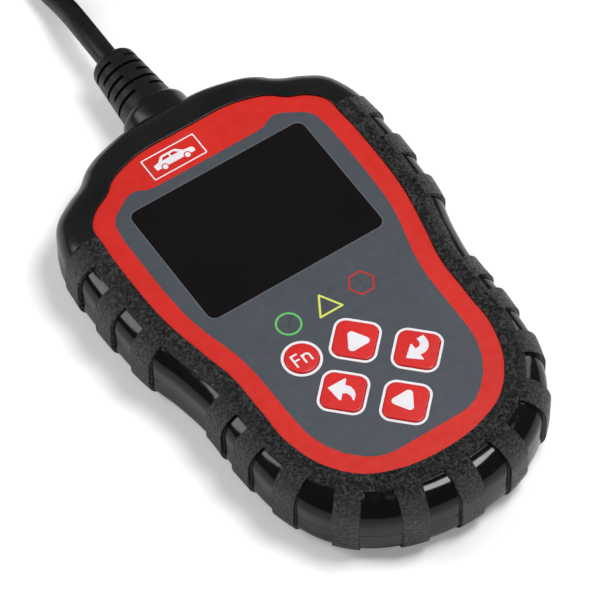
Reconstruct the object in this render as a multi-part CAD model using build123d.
"""Handheld diagnostic code reader: housing with a ribbed rim, keypad, display and a plug on a lead.

Millimetres, +Z up. The reader lies on its back: its underside is z = 0, and its width and length
are centred on the origin. The lead leaves along +Y. The face is laid out from the display's centre.
"""
from build123d import *
from math import atan2, degrees, pi, radians, sqrt, tan
import os

os.makedirs("parts", exist_ok=True)

# ---- housing ----------------------------------------------------------------------------------
body_width = 105.6
body_length = 160.3
body_thickness = 25.0
seam_height = 12.5
edge_radius = 8.0
wall = 2.4
face_wall = 1.9            # front wall behind the printed film
rim_side = 10.9            # from the film's edge to the outside of the rim
rim_top = 12.5
rim_bottom = 14.3
face_step = 0.5            # how far the rim stands above the film
ring_width = 6.0           # textured ring beside the film, before the glossy panels start
panel_sink = 0.3           # panels below the smooth rim, sideways
panel_drop = 0.8           # panels below the ring, in height
rib_proud = 0.8            # ribs above the smooth rim, sideways
rib_lift = 0.2             # ribs above the ring, in height
rib_width = 7.8
rib_inset = 4.6            # from the film's edge to the inner end of a rib
lower_rib_pitch = 13.7     # along the film's edge, from the middle of the lower end
lower_ribs = 5             # on each side, beside the one in the middle
upper_rib_start = 53.8     # along the film's edge, from the middle of the upper end
upper_rib_pitch = 16.0
upper_ribs = 3
grip_top_above_display = 21.0
lip_height = 1.2
lip_width = 1.0
lip_root = 0.8              # how far the lip runs down the inside of the wall
fit_gap = 0.12             # sideways clearance of parts that drop into a recess

# ---- film, display and lamps ------------------------------------------------------------------
film_thickness = 0.5
display_below_top = 51.3   # display centre from the rim's upper end
window_width = 60.0
window_height = 44.3
window_corner = 2.6
lens_flange = 1.6
lens_flange_thickness = 0.8
gasket_thickness = 0.8
gasket_width = 2.2
module_width = 69.2
module_height = 50.0
module_thickness = 2.9
module_edge = 1.8
glass_thickness = 1.3
lamp_spacing = 12.55
lamps_below_display = 35.3
light_guide_diameter = 5.0

# ---- keys -------------------------------------------------------------------------------------
keypad_below_display = 63.25
key_spacing = 12.65        # from the keypad's centre to each square key
key_side = 12.15
key_corner = 2.7
key_crown = 0.45           # top of the key above the film
key_flange = 1.0
key_flange_thickness = 0.85
key_play = 0.15            # flange below the front wall at rest
key_travel = 0.45
stem_diameter = 4.0
fn_key_diameter = 10.0
fn_key_left = 16.02
fn_key_above_keypad = 16.05
switch_size = 6.0
switch_height = 3.4
plunger_diameter = 3.4
plunger_proud = 1.0

# ---- board ------------------------------------------------------------------------------------
board_thickness = 1.6
board_top = 14.2
board_inset = 6.5          # from the outside of the rim
board_above_display = 38.0
post_diameter = 7.0
well_post_diameter = 9.2
well_diameter = 6.4
well_depth = 5.0
screw_diameter = 2.9
screw_head_diameter = 5.6
screw_head_height = 2.0
screw_length = 15.0
board_post_diameter = 5.5
board_screw_diameter = 1.9
board_screw_length = 6.0
board_screw_head = 3.8

CHIPS = {                  # width, depth, height, and place from the display's centre
    "processor": (14.0, 14.0, 1.5, 0.0, -6.0),
    "memory_chip": (6.0, 5.0, 1.4, 17.0, -6.0),
    "bus_transceiver": (4.0, 5.0, 1.5, -14.0, 22.0),
    "voltage_regulator": (6.5, 6.2, 2.3, -27.0, -9.0),
    "clock_crystal": (4.0, 2.6, 1.2, 0.0, -19.0),
}
chip_leg_height = 0.15
chip_leg_reach = 0.8
capacitor_diameter = 6.3
capacitor_height = 5.4
capacitor_places = [(-27.0, 12.0), (-27.0, 2.0)]
beeper_diameter = 12.0
beeper_height = 5.0

# ---- lead and its sleeve ----------------------------------------------------------------------
lead_diameter = 7.0
boss_diameter = 22.0
boss_reach = 5.7           # beyond the rim
boss_round = 3.2
sleeve_length = 22.0
sleeve_root_diameter = 17.6
sleeve_tip_diameter = 14.1
sleeve_tip_round = 2.4
sleeve_neck_diameter = 13.0
sleeve_flange_diameter = 17.0
sleeve_flange_thickness = 3.0
slot_width = 1.1
slot_pitch = 3.4
slot_rows = 5
slot_first = 4.2           # from the sleeve's tip to its first slot
slot_floor_diameter = 9.6
bridge_width = 4.6
sleeve_bore_gap = 0.05
lead_inside = 5.0          # how far the lead reaches past the sleeve's flange

# ---- plug -------------------------------------------------------------------------------------
plug_width = 46.0
plug_thickness = 24.0
plug_grip_length = 34.0
plug_tail_width = 27.0
plug_tail_thickness = 16.0
shroud_width = 39.4
shroud_short_width = 35.6
shroud_height = 17.6
shroud_wall = 1.2
shroud_reach = 20.0
insert_thickness = 6.0
pin_pitch = 4.0
pin_row_spacing = 8.0
pin_columns = 8
pin_width = 1.5
pin_thickness = 0.8
pin_reach = 15.0
plug_sleeve_length = 18.0
plug_sleeve_root = 13.0
plug_sleeve_tip = 10.0
plug_slot_first = 3.6      # from the plug's tail to its sleeve's first slot
plug_slot_rows = 4
plug_slot_floor = 1.6      # how much wider than the lead the slots' floor is
plug_neck = 13.5           # how far the lead reaches into the plug
shroud_seat = 8.0          # how far the shroud and the insert reach into the plug
plug_grooves = 5           # finger grooves on each side
plug_groove_pitch = 3.6

# ---- coil -------------------------------------------------------------------------------------
coil_middle_radius = 38.5
coil_lift = 1.2            # room for the tie underneath
tie_width = 9.0
tie_thickness = 0.8
tube_clearance = 0.1       # between the lead and the coil's groove for it
# The lead's points and the coil's centre, with Y from the sleeve's tip.
LEAD_FROM_TIP = [
    (0.0, 0.0, 12.5), (0.0, 13.6, 12.5), (1.5, 28.1, 8.2), (1.0, 42.1, 4.7), (1.0, 55.6, 4.7),
]
COIL_FROM_TIP = (43.0, 67.6)
TAIL_FROM_TIP = [(4.5, 67.6, 10.8), (4.5, 77.6, 12.0), (3.6, 87.1, 12.0), (3.6, 96.6, 12.0)]

# ---- levels and places that follow from these -------------------------------------------------
face_top = body_thickness - face_step
film_floor = face_top - film_thickness
cavity_roof = film_floor - face_wall
cavity_floor = wall
y_max = (body_length + rib_proud + boss_reach) / 2
rim_end = y_max - boss_reach
display_y = rim_end - display_below_top
keypad_y = display_y - keypad_below_display
lamps_y = display_y - lamps_below_display
film_width = body_width - 2 * rim_side
film_length = body_length - rim_top - rim_bottom
film_end = rim_end - rim_top
board_floor = board_top - board_thickness
lens_bottom = cavity_roof - lens_flange_thickness
gasket_bottom = lens_bottom - gasket_thickness
module_bottom = gasket_bottom - module_thickness
flange_top = cavity_roof - key_play
flange_bottom = flange_top - key_flange_thickness
plunger_top = board_top + switch_height + plunger_proud
cavity_end = rim_end - wall - panel_sink
sleeve_tip_y = y_max + sleeve_length
lead_points = [(x, sleeve_tip_y + y, z) for x, y, z in LEAD_FROM_TIP]
tail_points = [(x, sleeve_tip_y + y, z) for x, y, z in TAIL_FROM_TIP]
coil_centre = (COIL_FROM_TIP[0], sleeve_tip_y + COIL_FROM_TIP[1])
plug_z = plug_thickness / 2

BODY_SHAPE = [
    (0.0, 51.3), (18.0, 50.1), (29.6, 46.0), (35.2, 41.5), (41.6, 38.3), (46.9, 34.6),
    (51.0, 27.0), (52.6, 16.0), (52.8, -2.0), (51.2, -20.0), (48.4, -31.0), (46.6, -42.0),
    (46.4, -60.0), (44.4, -77.5), (38.0, -92.2), (29.9, -100.3), (18.6, -106.0), (0.0, -109.0),
]
FILM_SHAPE = [
    (0.0, 38.8), (20.0, 37.6), (26.9, 35.0), (31.5, 31.3), (36.5, 28.7), (40.1, 25.2),
    (41.5, 16.0), (41.9, 3.0), (41.1, -15.0), (38.3, -30.0), (35.9, -41.0), (35.4, -54.0),
    (34.8, -69.0), (30.9, -80.0), (22.9, -89.0), (13.6, -93.0), (0.0, -94.7),
]


# ---- helpers ----------------------------------------------------------------------------------
def middle_tangent(before, here, after):
    """Direction at the middle one of three points, along the circle through them."""
    first = here - before
    second = after - here
    return (first / first.length ** 2 + second / second.length ** 2).normalized()


def two_arcs(start, start_tangent, end, end_tangent):
    """Two arcs that join two points, tangent to both directions and to each other."""
    chord = end - start
    both = start_tangent + end_tangent
    spread = 2 * (1 - start_tangent.dot(end_tangent))
    across = chord.dot(both)
    if spread < 1e-9:
        reach = chord.length ** 2 / (2 * across)
    else:
        reach = (sqrt(across ** 2 + spread * chord.length ** 2) - across) / spread
    joint = (start + end + (start_tangent - end_tangent) * reach) / 2
    first = TangentArc(start, joint, tangent=start_tangent)
    second = TangentArc(joint, end, tangent=first % 1)
    return [first, second]


def half_outline(shape, width, length, end):
    """Right half of an outline as tangent arcs, stretched to a size, its upper end at y = end."""
    stretch_x = width / 2 / max(x for x, y in shape)
    stretch_y = length / (shape[0][1] - shape[-1][1])
    points = [Vector(x * stretch_x, end + (y - shape[0][1]) * stretch_y) for x, y in shape]
    inner = [middle_tangent(*points[k - 1:k + 2]) for k in range(1, len(points) - 1)]
    tangents = [Vector(1, 0)] + inner + [Vector(-1, 0)]
    arcs = []
    for k in range(len(points) - 1):
        arcs += two_arcs(points[k], tangents[k], points[k + 1], tangents[k + 1])
    return Wire(arcs)


def closed_face(half):
    """Face inside a half outline and its mirror image."""
    return make_face(half.edges() + mirror(half, Plane.YZ).edges())


def at_height(z):
    return Pos(0, 0, z)


def rounded_slab(outline, low, high, radius):
    """Plate between two heights, with both of its rims rounded."""
    plate = at_height(low) * extrude(outline, high - low)
    rims = plate.edges().group_by(Axis.Z)
    return fillet(rims[0] + rims[-1], radius)


def prism(outline, low, high):
    return at_height(low) * extrude(outline, high - low)


def block(width, depth, low, high, x=0.0, y=0.0):
    return Pos(x, y, (low + high) / 2) * Box(width, depth, high - low)


def post(diameter, low, high, x=0.0, y=0.0):
    return Pos(x, y, (low + high) / 2) * Cylinder(diameter / 2, high - low)


def rod_y(diameter, start, end, z, x=0.0):
    """Round bar along Y."""
    return Pos(x, (start + end) / 2, z) * Rot(90, 0, 0) * Cylinder(diameter / 2, end - start)


def rod_between(start, end, diameter):
    """Round bar from one point to another."""
    line = Vector(*end) - Vector(*start)
    return extrude(Plane(origin=start, z_dir=line) * Circle(diameter / 2), line.length)


def save(shape, name):
    export_step(shape, f"parts/{name}.step")


def mirrored(places):
    """Each place, and its twin on the other side of the middle."""
    return [(side * x, y) for x, y in places for side in (1, -1)]


# ---- outlines ---------------------------------------------------------------------------------
body_half = half_outline(BODY_SHAPE, body_width, body_length, rim_end)
film_half = half_outline(FILM_SHAPE, film_width, film_length, film_end)
body_face = closed_face(body_half)
film_face = closed_face(film_half)

housing_posts = mirrored([
    (0.606 * body_width / 2, display_y + 33.5),
    (body_width / 2 - 10.8, display_y - 22.0),
    (0.51 * body_width / 2, rim_end - body_length + 23.0),
])
board_posts = mirrored([(18.0, display_y + 32.0), (30.0, keypad_y + 3.0)])
lamp_places = [(-lamp_spacing, lamps_y), (0.0, lamps_y), (lamp_spacing, lamps_y)]
square_keys = {
    "up": (0.0, keypad_y + key_spacing),
    "back": (-key_spacing, keypad_y),
    "enter": (key_spacing, keypad_y),
    "down": (0.0, keypad_y - key_spacing),
}
fn_place = (-fn_key_left, keypad_y + fn_key_above_keypad)


def key_outline(name, grow=0.0):
    """Outline of a key at its place; grow adds to it all round."""
    if name == "fn":
        return Pos(*fn_place) * Circle(fn_key_diameter / 2 + grow)
    side = key_side + 2 * grow
    return Pos(*square_keys[name]) * Rot(0, 0, 45) * RectangleRounded(side, side, key_corner + grow)


KEYS = list(square_keys) + ["fn"]


# ---- outside of the housing -------------------------------------------------------------------
def rib_blocks():
    """Upright blocks across the rim, where a rib stands."""
    places = [film_half.length - k * lower_rib_pitch for k in range(lower_ribs + 1)]
    places += [upper_rib_start + k * upper_rib_pitch for k in range(upper_ribs)]
    made = []
    for along in places:
        foot = film_half.position_at(along, position_mode=PositionMode.LENGTH)
        heading = film_half.tangent_at(along, position_mode=PositionMode.LENGTH)
        turn = degrees(atan2(heading.Y, heading.X))
        reach = 3 * rim_side
        bar = Pos(0, rib_inset + reach / 2) * Rectangle(rib_width, reach)
        placed = Pos(foot.X, foot.Y) * Rot(0, 0, turn) * bar
        made.append(placed)
        if along < film_half.length:
            made.append(mirror(placed, Plane.YZ))
    return [prism(bar, -1, body_thickness + 1) for bar in made]


smooth_body = rounded_slab(body_face, 0, body_thickness, edge_radius)
panel_body = rounded_slab(
    offset(body_face, -panel_sink), 0.6, body_thickness - panel_drop, edge_radius - 0.6)
rib_body = rounded_slab(
    offset(body_face, rib_proud), 0.4, body_thickness + rib_lift, edge_radius + 0.4)

grip_top = display_y + grip_top_above_display
above_grip = block(2 * body_width, body_length, -1, body_thickness + 1,
                   y=grip_top + body_length / 2)
ring_zone = prism(offset(film_face, ring_width), -1, body_thickness + 1)
smooth_zone = smooth_body & (ring_zone + above_grip)
ribs = rib_body & (Part() + rib_blocks())

boss = rod_y(boss_diameter, rim_end - 2 * edge_radius, y_max, seam_height)
boss = fillet(boss.edges().group_by(Axis.Y)[-1], boss_round)
outside = panel_body + smooth_zone + ribs + boss

# ---- inside of the housing --------------------------------------------------------------------
cavity_face = offset(body_face, -(wall + panel_sink))
cavity = rounded_slab(cavity_face, cavity_floor, cavity_roof, edge_radius - wall)
sleeve_hole = rod_y(sleeve_neck_diameter + 2 * fit_gap, cavity_end - 10, y_max + 1, seam_height)
sleeve_hole += rod_y(sleeve_flange_diameter + 4 * fit_gap, cavity_end - sleeve_flange_thickness - 2,
                     cavity_end, seam_height)

upper_half = block(3 * body_width, 3 * body_length, seam_height, 2 * body_thickness)
lower_half = block(3 * body_width, 3 * body_length, -body_thickness, seam_height)

hollow = outside - cavity
lip = prism(offset(cavity_face, lip_width), seam_height - lip_root, seam_height + lip_height)
lip -= prism(cavity_face, 0, body_thickness)
lip_groove = prism(offset(cavity_face, lip_width + fit_gap),
                   seam_height - 1, seam_height + lip_height + fit_gap)

film_recess = prism(offset(film_face, fit_gap), film_floor, body_thickness + 1)
window = Pos(0, display_y) * RectangleRounded(window_width, window_height, window_corner)
window_hole = prism(offset(window, fit_gap), cavity_roof - 1, body_thickness + 1)


def front_cover():
    cover = hollow & upper_half
    for x, y in housing_posts:
        cover += post(post_diameter, seam_height, cavity_roof + 0.5, x, y)
        cover -= post(screw_diameter + 0.1, seam_height - 1, cavity_roof - 1.5, x, y)
    for x, y in board_posts:
        cover += post(board_post_diameter, board_top, cavity_roof + 0.5, x, y)
        cover -= post(board_screw_diameter + 0.1, board_top - 1, cavity_roof - 2.5, x, y)
    for name in KEYS:
        cover -= prism(key_outline(name, fit_gap), cavity_roof - 1, body_thickness)
    for x, y in lamp_places:
        cover -= post(light_guide_diameter + 2 * fit_gap, cavity_roof - 1, body_thickness, x, y)
    cover = cover - film_recess - window_hole - sleeve_hole
    return cover - lip_groove


def rear_cover():
    cover = hollow & lower_half
    for x, y in housing_posts:
        cover += post(well_post_diameter, cavity_floor - 0.5, seam_height, x, y)
        cover -= post(well_diameter, -1, well_depth, x, y)
        cover -= post(screw_diameter + 0.5, -1, seam_height + 1, x, y)
    return cover + lip - sleeve_hole


# ---- face -------------------------------------------------------------------------------------
def face_overlay():
    film = prism(film_face, film_floor, face_top)
    film -= prism(offset(window, fit_gap), 0, body_thickness)
    for name in KEYS:
        film -= prism(key_outline(name, fit_gap), 0, body_thickness)
    return film


def display_lens():
    flange = Pos(0, display_y) * RectangleRounded(
        window_width + 2 * lens_flange, window_height + 2 * lens_flange, window_corner + lens_flange)
    return prism(window, lens_bottom, face_top) + prism(flange, lens_bottom, cavity_roof)


def lens_gasket():
    outer_width = window_width + 2 * lens_flange
    outer_height = window_height + 2 * lens_flange
    outer = block(outer_width, outer_height, gasket_bottom, lens_bottom, y=display_y)
    return outer - block(outer_width - 2 * gasket_width, outer_height - 2 * gasket_width,
                         0, body_thickness, y=display_y)


def display_frame():
    tray = block(module_width, module_height, module_bottom, gasket_bottom, y=display_y)
    return tray - block(module_width - 2 * module_edge, module_height - 2 * module_edge,
                        gasket_bottom - glass_thickness, body_thickness, y=display_y)


def display_panel():
    edge = 2 * (module_edge + fit_gap)
    return block(module_width - edge, module_height - edge,
                 gasket_bottom - glass_thickness, gasket_bottom, y=display_y)


def display_pads():
    """Two foam strips that hold the display off the board."""
    shift = module_height / 2 - 5
    strips = [block(50, 6, board_top, module_bottom, y=display_y + side * shift) for side in (1, -1)]
    return Compound(children=strips)


socket_y = display_y - module_height / 2 - 3.0
flex_low = board_top + 1.2
flex_high = module_bottom + 0.6
flex_thickness = 0.2
flex_width = 20.0


def flex_cable():
    """Flat ribbon from the display's lower edge, folded back into its socket."""
    bend_y = socket_y - 2.6
    edge_y = display_y - module_height / 2 - 0.1
    middle = (flex_low + flex_high) / 2
    bend = (flex_high - flex_low) / 2
    outer = Pos(bend_y, middle) * Circle(bend + flex_thickness / 2)
    inner = Pos(bend_y, middle) * Circle(bend - flex_thickness / 2)
    fold = (outer - inner) & (Pos(bend_y - 10, middle) * Rectangle(20, 20))
    upper = Pos((bend_y + edge_y) / 2, flex_high) * Rectangle(edge_y - bend_y, flex_thickness)
    lower_end = socket_y - 1.0
    lower = Pos((bend_y + lower_end) / 2, flex_low) * Rectangle(lower_end - bend_y, flex_thickness)
    side_view = Plane(origin=(-flex_width / 2, 0, 0), x_dir=(0, 1, 0), z_dir=(1, 0, 0))
    return extrude(side_view * (fold + upper + lower), flex_width)


def flex_socket():
    body = block(flex_width + 4, 4.0, board_top, board_top + 2.0, y=socket_y)
    return body - block(flex_width + 0.4, 3.2, flex_low - 0.2, flex_low + 0.2, y=socket_y - 0.6)


# ---- keys -------------------------------------------------------------------------------------
def key_cap(name):
    """Crowned key with a flange below the front wall and a stem that reaches its switch."""
    crown = prism(key_outline(name), flange_top, face_top + key_crown)
    crown = fillet(crown.edges().group_by(Axis.Z)[-1], key_crown - 0.02)
    flange = prism(key_outline(name, key_flange), flange_bottom, flange_top)
    x, y = fn_place if name == "fn" else square_keys[name]
    return crown + flange + post(stem_diameter, plunger_top, flange_bottom, x, y)


def key_place(name):
    return fn_place if name == "fn" else square_keys[name]


def switch_body(name):
    x, y = key_place(name)
    body = block(switch_size, switch_size, board_top, board_top + switch_height, x, y)
    body = chamfer(body.edges().group_by(Axis.Z)[-1], 0.3)
    return body - post(plunger_diameter + 0.1, board_top + 1.2, body_thickness, x, y)


def switch_plunger(name):
    x, y = key_place(name)
    return post(plunger_diameter, plunger_top - 2.4, plunger_top, x, y)


# ---- board ------------------------------------------------------------------------------------
def main_board():
    board = prism(offset(body_face, -board_inset), board_floor, board_top)
    board_end = display_y + board_above_display
    board -= block(2 * body_width, body_length, 0, body_thickness, y=board_end + body_length / 2)
    for x, y in housing_posts:
        board -= post(well_post_diameter + 1.0, 0, body_thickness, x, y)
    for x, y in board_posts:
        board -= post(board_screw_diameter + 0.3, 0, body_thickness, x, y)
    return board


def chip(name):
    """Chip with its legs on the underside of the board."""
    width, depth, height, x, above_display = CHIPS[name]
    y = display_y + above_display
    leg_floor = board_floor - chip_leg_height
    body = block(width, depth, board_floor - height, leg_floor, x, y)
    body = chamfer(body.edges().group_by(Axis.Z)[0], chip_leg_height)
    return body + block(width + 2 * chip_leg_reach, depth * 0.86, leg_floor, board_floor, x, y)


def status_lamp(place):
    x, y = place
    base = block(3.5, 2.8, board_top, board_top + 0.9, x, y)
    return base + post(2.2, board_top + 0.9, board_top + 1.2, x, y)


def light_guides():
    return Compound(children=[
        post(light_guide_diameter, board_top + 1.4, film_floor, x, y) for x, y in lamp_places])


def capacitors():
    cans = [post(capacitor_diameter, board_floor - capacitor_height, board_floor, x, display_y + y)
            for x, y in capacitor_places]
    return Compound(children=cans)


def beeper():
    x, y = 29.0, keypad_y + 16.0
    can = post(beeper_diameter, board_top, board_top + beeper_height, x, y)
    can = fillet(can.edges().group_by(Axis.Z)[-1], 0.6)
    return can - post(2.0, board_top + 0.8 * beeper_height, body_thickness, x, y)


# ---- fasteners --------------------------------------------------------------------------------
def screw_up(x, y, seat, shank, length, head, head_height):
    """Self-tapping screw driven upwards: its head is below the seat."""
    body = post(shank, seat, seat + length, x, y)
    cap = post(head, seat - head_height, seat, x, y)
    cap = fillet(cap.edges().group_by(Axis.Z)[0], head_height * 0.3)
    slot = head * 0.55
    for width, depth in ((slot, slot / 4.5), (slot / 4.5, slot)):
        cap -= block(width, depth, seat - head_height - 1, seat - head_height * 0.45, x, y)
    return body + cap


def housing_screws():
    return Compound(children=[
        screw_up(x, y, well_depth, screw_diameter, screw_length, screw_head_diameter,
                 screw_head_height) for x, y in housing_posts])


def board_screws():
    return Compound(children=[
        screw_up(x, y, board_floor, board_screw_diameter, board_screw_length, board_screw_head, 1.3)
        for x, y in board_posts])


# ---- lead -------------------------------------------------------------------------------------
def slotted_sleeve(profile, tip, first, rows, pitch, floor_diameter, bore, z):
    """Flexible sleeve along Y; rows of slots, each row turned a quarter from the last."""
    side_view = Plane(origin=(0, 0, z), x_dir=(1, 0, 0), z_dir=(0, 0, 1))
    sleeve = revolve(side_view * profile, Axis((0, 0, z), (0, 1, 0)))
    for row in range(rows):
        y = tip - first - row * pitch
        groove = rod_y(40, y - slot_width / 2, y + slot_width / 2, z)
        groove -= rod_y(floor_diameter, y - slot_width, y + slot_width, z)
        size = (bridge_width, 50) if row % 2 == 0 else (50, bridge_width)
        groove -= Pos(0, y, z) * Box(size[0], 2 * slot_width, size[1])
        sleeve -= groove
    return sleeve - rod_y(bore, tip - 100, tip + 1, z)


flange_end = cavity_end - fit_gap
flange_start = flange_end - sleeve_flange_thickness


def strain_relief():
    outline = Polyline(
        (0, flange_start), (sleeve_flange_diameter / 2, flange_start),
        (sleeve_flange_diameter / 2, flange_end), (sleeve_neck_diameter / 2, flange_end),
        (sleeve_neck_diameter / 2, y_max), (sleeve_root_diameter / 2, y_max),
        (sleeve_tip_diameter / 2, sleeve_tip_y), (0, sleeve_tip_y), close=True)
    profile = make_face(outline)
    tip_corner = profile.vertices().filter_by(lambda v: v.Y > sleeve_tip_y - 0.1 and v.X > 1)
    profile = fillet(tip_corner, sleeve_tip_round)
    return slotted_sleeve(profile, sleeve_tip_y, slot_first, slot_rows, slot_pitch,
                          slot_floor_diameter, lead_diameter + 2 * sleeve_bore_gap, seam_height)


def lead_core():
    return rod_y(lead_diameter, flange_start - lead_inside, sleeve_tip_y, seam_height)


wire_places = [-4.0, -2.4, -0.8, 0.8, 2.4, 4.0]
wire_diameter = 1.1
socket_front = display_y + 33.0
wire_plug_end = display_y + 36.0
wire_height = board_top + 2.4


def wires():
    core_end = flange_start - lead_inside - 0.3
    runs = [rod_between((x * 0.45, core_end, seam_height), (x, wire_plug_end + 0.3, wire_height),
                        wire_diameter * 0.62) for x in wire_places]
    return Compound(children=runs)


def wire_plug():
    return block(11.0, 5.0, board_top + 0.8, board_top + 4.2, y=wire_plug_end - 2.5)


def board_socket():
    shell = block(13.4, 5.5, board_top, board_top + 5.2, y=socket_front - 2.75)
    return shell - block(11.2, 4.4, board_top + 0.7, board_top + 4.3, y=socket_front - 0.2)


def lead_path(points):
    """Straight runs joined by tangent arcs, each arc as large as its two runs allow."""
    corners = [Vector(*point) for point in points]
    runs = [after - before for before, after in zip(corners, corners[1:])]
    radii = []
    for before, after in zip(runs, runs[1:]):
        half_turn = radians(before.get_angle(after)) / 2
        radii.append(0.45 * min(before.length, after.length) / tan(half_turn))
    print("radii", [round(radius, 1) for radius in radii])
    return FilletPolyline(*points, radius=radii)


def lead_tube(points, diameter):
    path = lead_path(points)
    return sweep(Plane(origin=path @ 0, z_dir=path % 0) * Circle(diameter / 2), path=path)


def coil_section(grow=0.0):
    """Outer shape of three turns, two side by side and one on them, as radius and height."""
    low = coil_lift
    inner = coil_middle_radius - lead_diameter
    outer = coil_middle_radius + lead_diameter
    shoulder = coil_middle_radius - lead_diameter / 2, coil_middle_radius + lead_diameter / 2
    top = low + lead_diameter * (1 + sqrt(3) / 2)
    points = [
        (inner, low), (outer, low), (outer, low + 0.7 * lead_diameter),
        (shoulder[1], top - 0.25 * lead_diameter), (shoulder[1] - 1.6, top),
        (shoulder[0] + 1.6, top), (shoulder[0], top - 0.25 * lead_diameter),
        (inner, low + 0.7 * lead_diameter),
    ]
    section = make_face(Polyline(*points, close=True))
    return offset(section, grow, kind=Kind.INTERSECTION) if grow else section


def lead_coil():
    ring = Pos(*coil_centre) * revolve(Plane.XZ * coil_section(), Axis.Z)
    groove = lead_diameter + 2 * tube_clearance
    x, y, z = lead_points[-1]
    ring -= rod_y(groove, y - 2 * coil_middle_radius, y, z, x)
    return ring - lead_tube(tail_points, groove)


def coil_tie():
    gap = 0.4
    outer = Plane.XZ * coil_section(gap + tie_thickness)
    inner = Plane.XZ * coil_section(gap)
    strap = extrude(outer - inner, tie_width / 2, both=True)
    return Pos(*coil_centre) * strap


# ---- plug -------------------------------------------------------------------------------------
plug_x = tail_points[-1][0]
plug_sleeve_y = tail_points[-1][1]
plug_tail_y = plug_sleeve_y + plug_sleeve_length
plug_front_y = plug_tail_y + plug_grip_length
insert_end = plug_front_y + insert_thickness


def across(y):
    """Upright plane across the plug at a place along it, seen from its tail."""
    return Plane(origin=(plug_x, y, plug_z), x_dir=(1, 0, 0), z_dir=(0, 1, 0))


def shroud_outline(shrink=0.0):
    half = shroud_height / 2 - shrink
    wide = shroud_width / 2 - shrink
    narrow = shroud_short_width / 2 - shrink
    outline = Polyline((-wide, -half), (wide, -half), (narrow, half), (-narrow, half), close=True)
    face = make_face(outline)
    return fillet(face.vertices(), 2.6 - shrink)


def plug_body():
    tail = across(plug_tail_y) * RectangleRounded(plug_tail_width, plug_tail_thickness, 6)
    waist = across(plug_tail_y + 0.45 * plug_grip_length) * RectangleRounded(
        0.84 * plug_width, 0.9 * plug_thickness, 7)
    front = across(plug_front_y) * RectangleRounded(plug_width, plug_thickness, 6)
    grip = loft([tail, waist, front])
    grip = fillet(grip.edges().group_by(Axis.Y)[-1], 1.6)
    for side in (1, -1):
        for row in range(plug_grooves):
            y = plug_tail_y + 8 + row * plug_groove_pitch
            middle = plug_x + side * (0.5 * plug_width + 0.4 - 0.9 * (plug_grooves - 1 - row))
            grip -= Pos(middle, y, plug_z) * Box(4.4, 1.5, 12)
    socket = extrude(across(plug_front_y - shroud_seat) * shroud_outline(), shroud_seat + 2)
    neck = rod_y(lead_diameter + 2 * sleeve_bore_gap, plug_tail_y - 1, plug_tail_y + plug_neck + 0.5,
                 plug_z, plug_x)
    return grip - socket - neck


def plug_shroud():
    back = plug_front_y - shroud_seat
    shell = extrude(across(back) * shroud_outline(), shroud_seat + shroud_reach)
    shell = fillet(shell.edges().group_by(Axis.Y)[-1], 0.5)
    bore = extrude(across(back - 1) * shroud_outline(shroud_wall), shroud_seat + shroud_reach + 2)
    return shell - bore


def plug_insert():
    base = extrude(across(plug_front_y - shroud_seat) * shroud_outline(shroud_wall + 0.05),
                   shroud_seat + insert_thickness)
    for x, z in pin_places():
        base -= Pos(plug_x + x, plug_front_y, plug_z + z) * Box(
            pin_width + 0.02, 60, pin_thickness + 0.02)
    return base


def pin_places():
    first = -(pin_columns - 1) / 2 * pin_pitch
    return [(first + column * pin_pitch, side * pin_row_spacing / 2)
            for column in range(pin_columns) for side in (1, -1)]


def plug_pins():
    start = plug_front_y - shroud_seat + 0.1
    end = insert_end + pin_reach - insert_thickness
    pins = []
    for x, z in pin_places():
        blade = Box(pin_width, end - start, pin_thickness)
        blade = Pos(plug_x + x, (start + end) / 2, plug_z + z) * blade
        pins.append(chamfer(blade.edges().group_by(Axis.Y)[-1], 0.25))
    return Compound(children=pins)


def plug_sleeve():
    outline = make_face(Polyline(
        (0, plug_sleeve_y), (plug_sleeve_tip / 2, plug_sleeve_y), (plug_sleeve_root / 2, plug_tail_y),
        (0, plug_tail_y), close=True))
    return Pos(plug_x, 0, 0) * slotted_sleeve(
        outline, plug_tail_y, plug_slot_first, plug_slot_rows, slot_pitch,
        lead_diameter + plug_slot_floor, lead_diameter + 2 * sleeve_bore_gap, plug_z)


def plug_core():
    return rod_y(lead_diameter, plug_sleeve_y, plug_tail_y + plug_neck, plug_z, plug_x)


# ---- files ------------------------------------------------------------------------------------
save(front_cover(), "front_cover")
save(rear_cover(), "rear_cover")
save(face_overlay(), "face_overlay")
save(display_lens(), "display_lens")
save(lens_gasket(), "lens_gasket")
save(display_frame(), "display_frame")
save(display_panel(), "display_panel")
save(display_pads(), "display_pads")
save(flex_cable(), "flex_cable")
save(flex_socket(), "flex_socket")
save(main_board(), "main_board")
for name in KEYS:
    save(key_cap(name), f"key_{name}")
    save(switch_plunger(name), f"plunger_{name}")
    save(switch_body(name), f"switch_{name}")
for colour, place in zip(("green", "yellow", "red"), lamp_places):
    save(status_lamp(place), f"lamp_{colour}")
save(light_guides(), "light_guides")
save(beeper(), "beeper")
save(capacitors(), "capacitors")
for name in CHIPS:
    save(chip(name), name)
save(housing_screws(), "housing_screws")
save(board_screws(), "board_screws")
save(strain_relief(), "strain_relief")
save(lead_core(), "lead_core")
save(wires(), "lead_wires")
save(wire_plug(), "wire_plug")
save(board_socket(), "board_socket")
for points, name in ((lead_points, "lead"), (tail_points, "lead_tail")):
    tube = lead_tube(points, lead_diameter)
    straight_volume = pi * lead_diameter ** 2 / 4 * lead_path(points).length
    print(name, "volume over section times length", round(tube.volume / straight_volume, 4))
    save(tube, name)
save(lead_coil(), "lead_coil")
save(coil_tie(), "coil_tie")
save(plug_body(), "plug_body")
save(plug_shroud(), "plug_shroud")
save(plug_insert(), "plug_insert")
save(plug_pins(), "plug_pins")
save(plug_sleeve(), "plug_sleeve")
save(plug_core(), "plug_core")
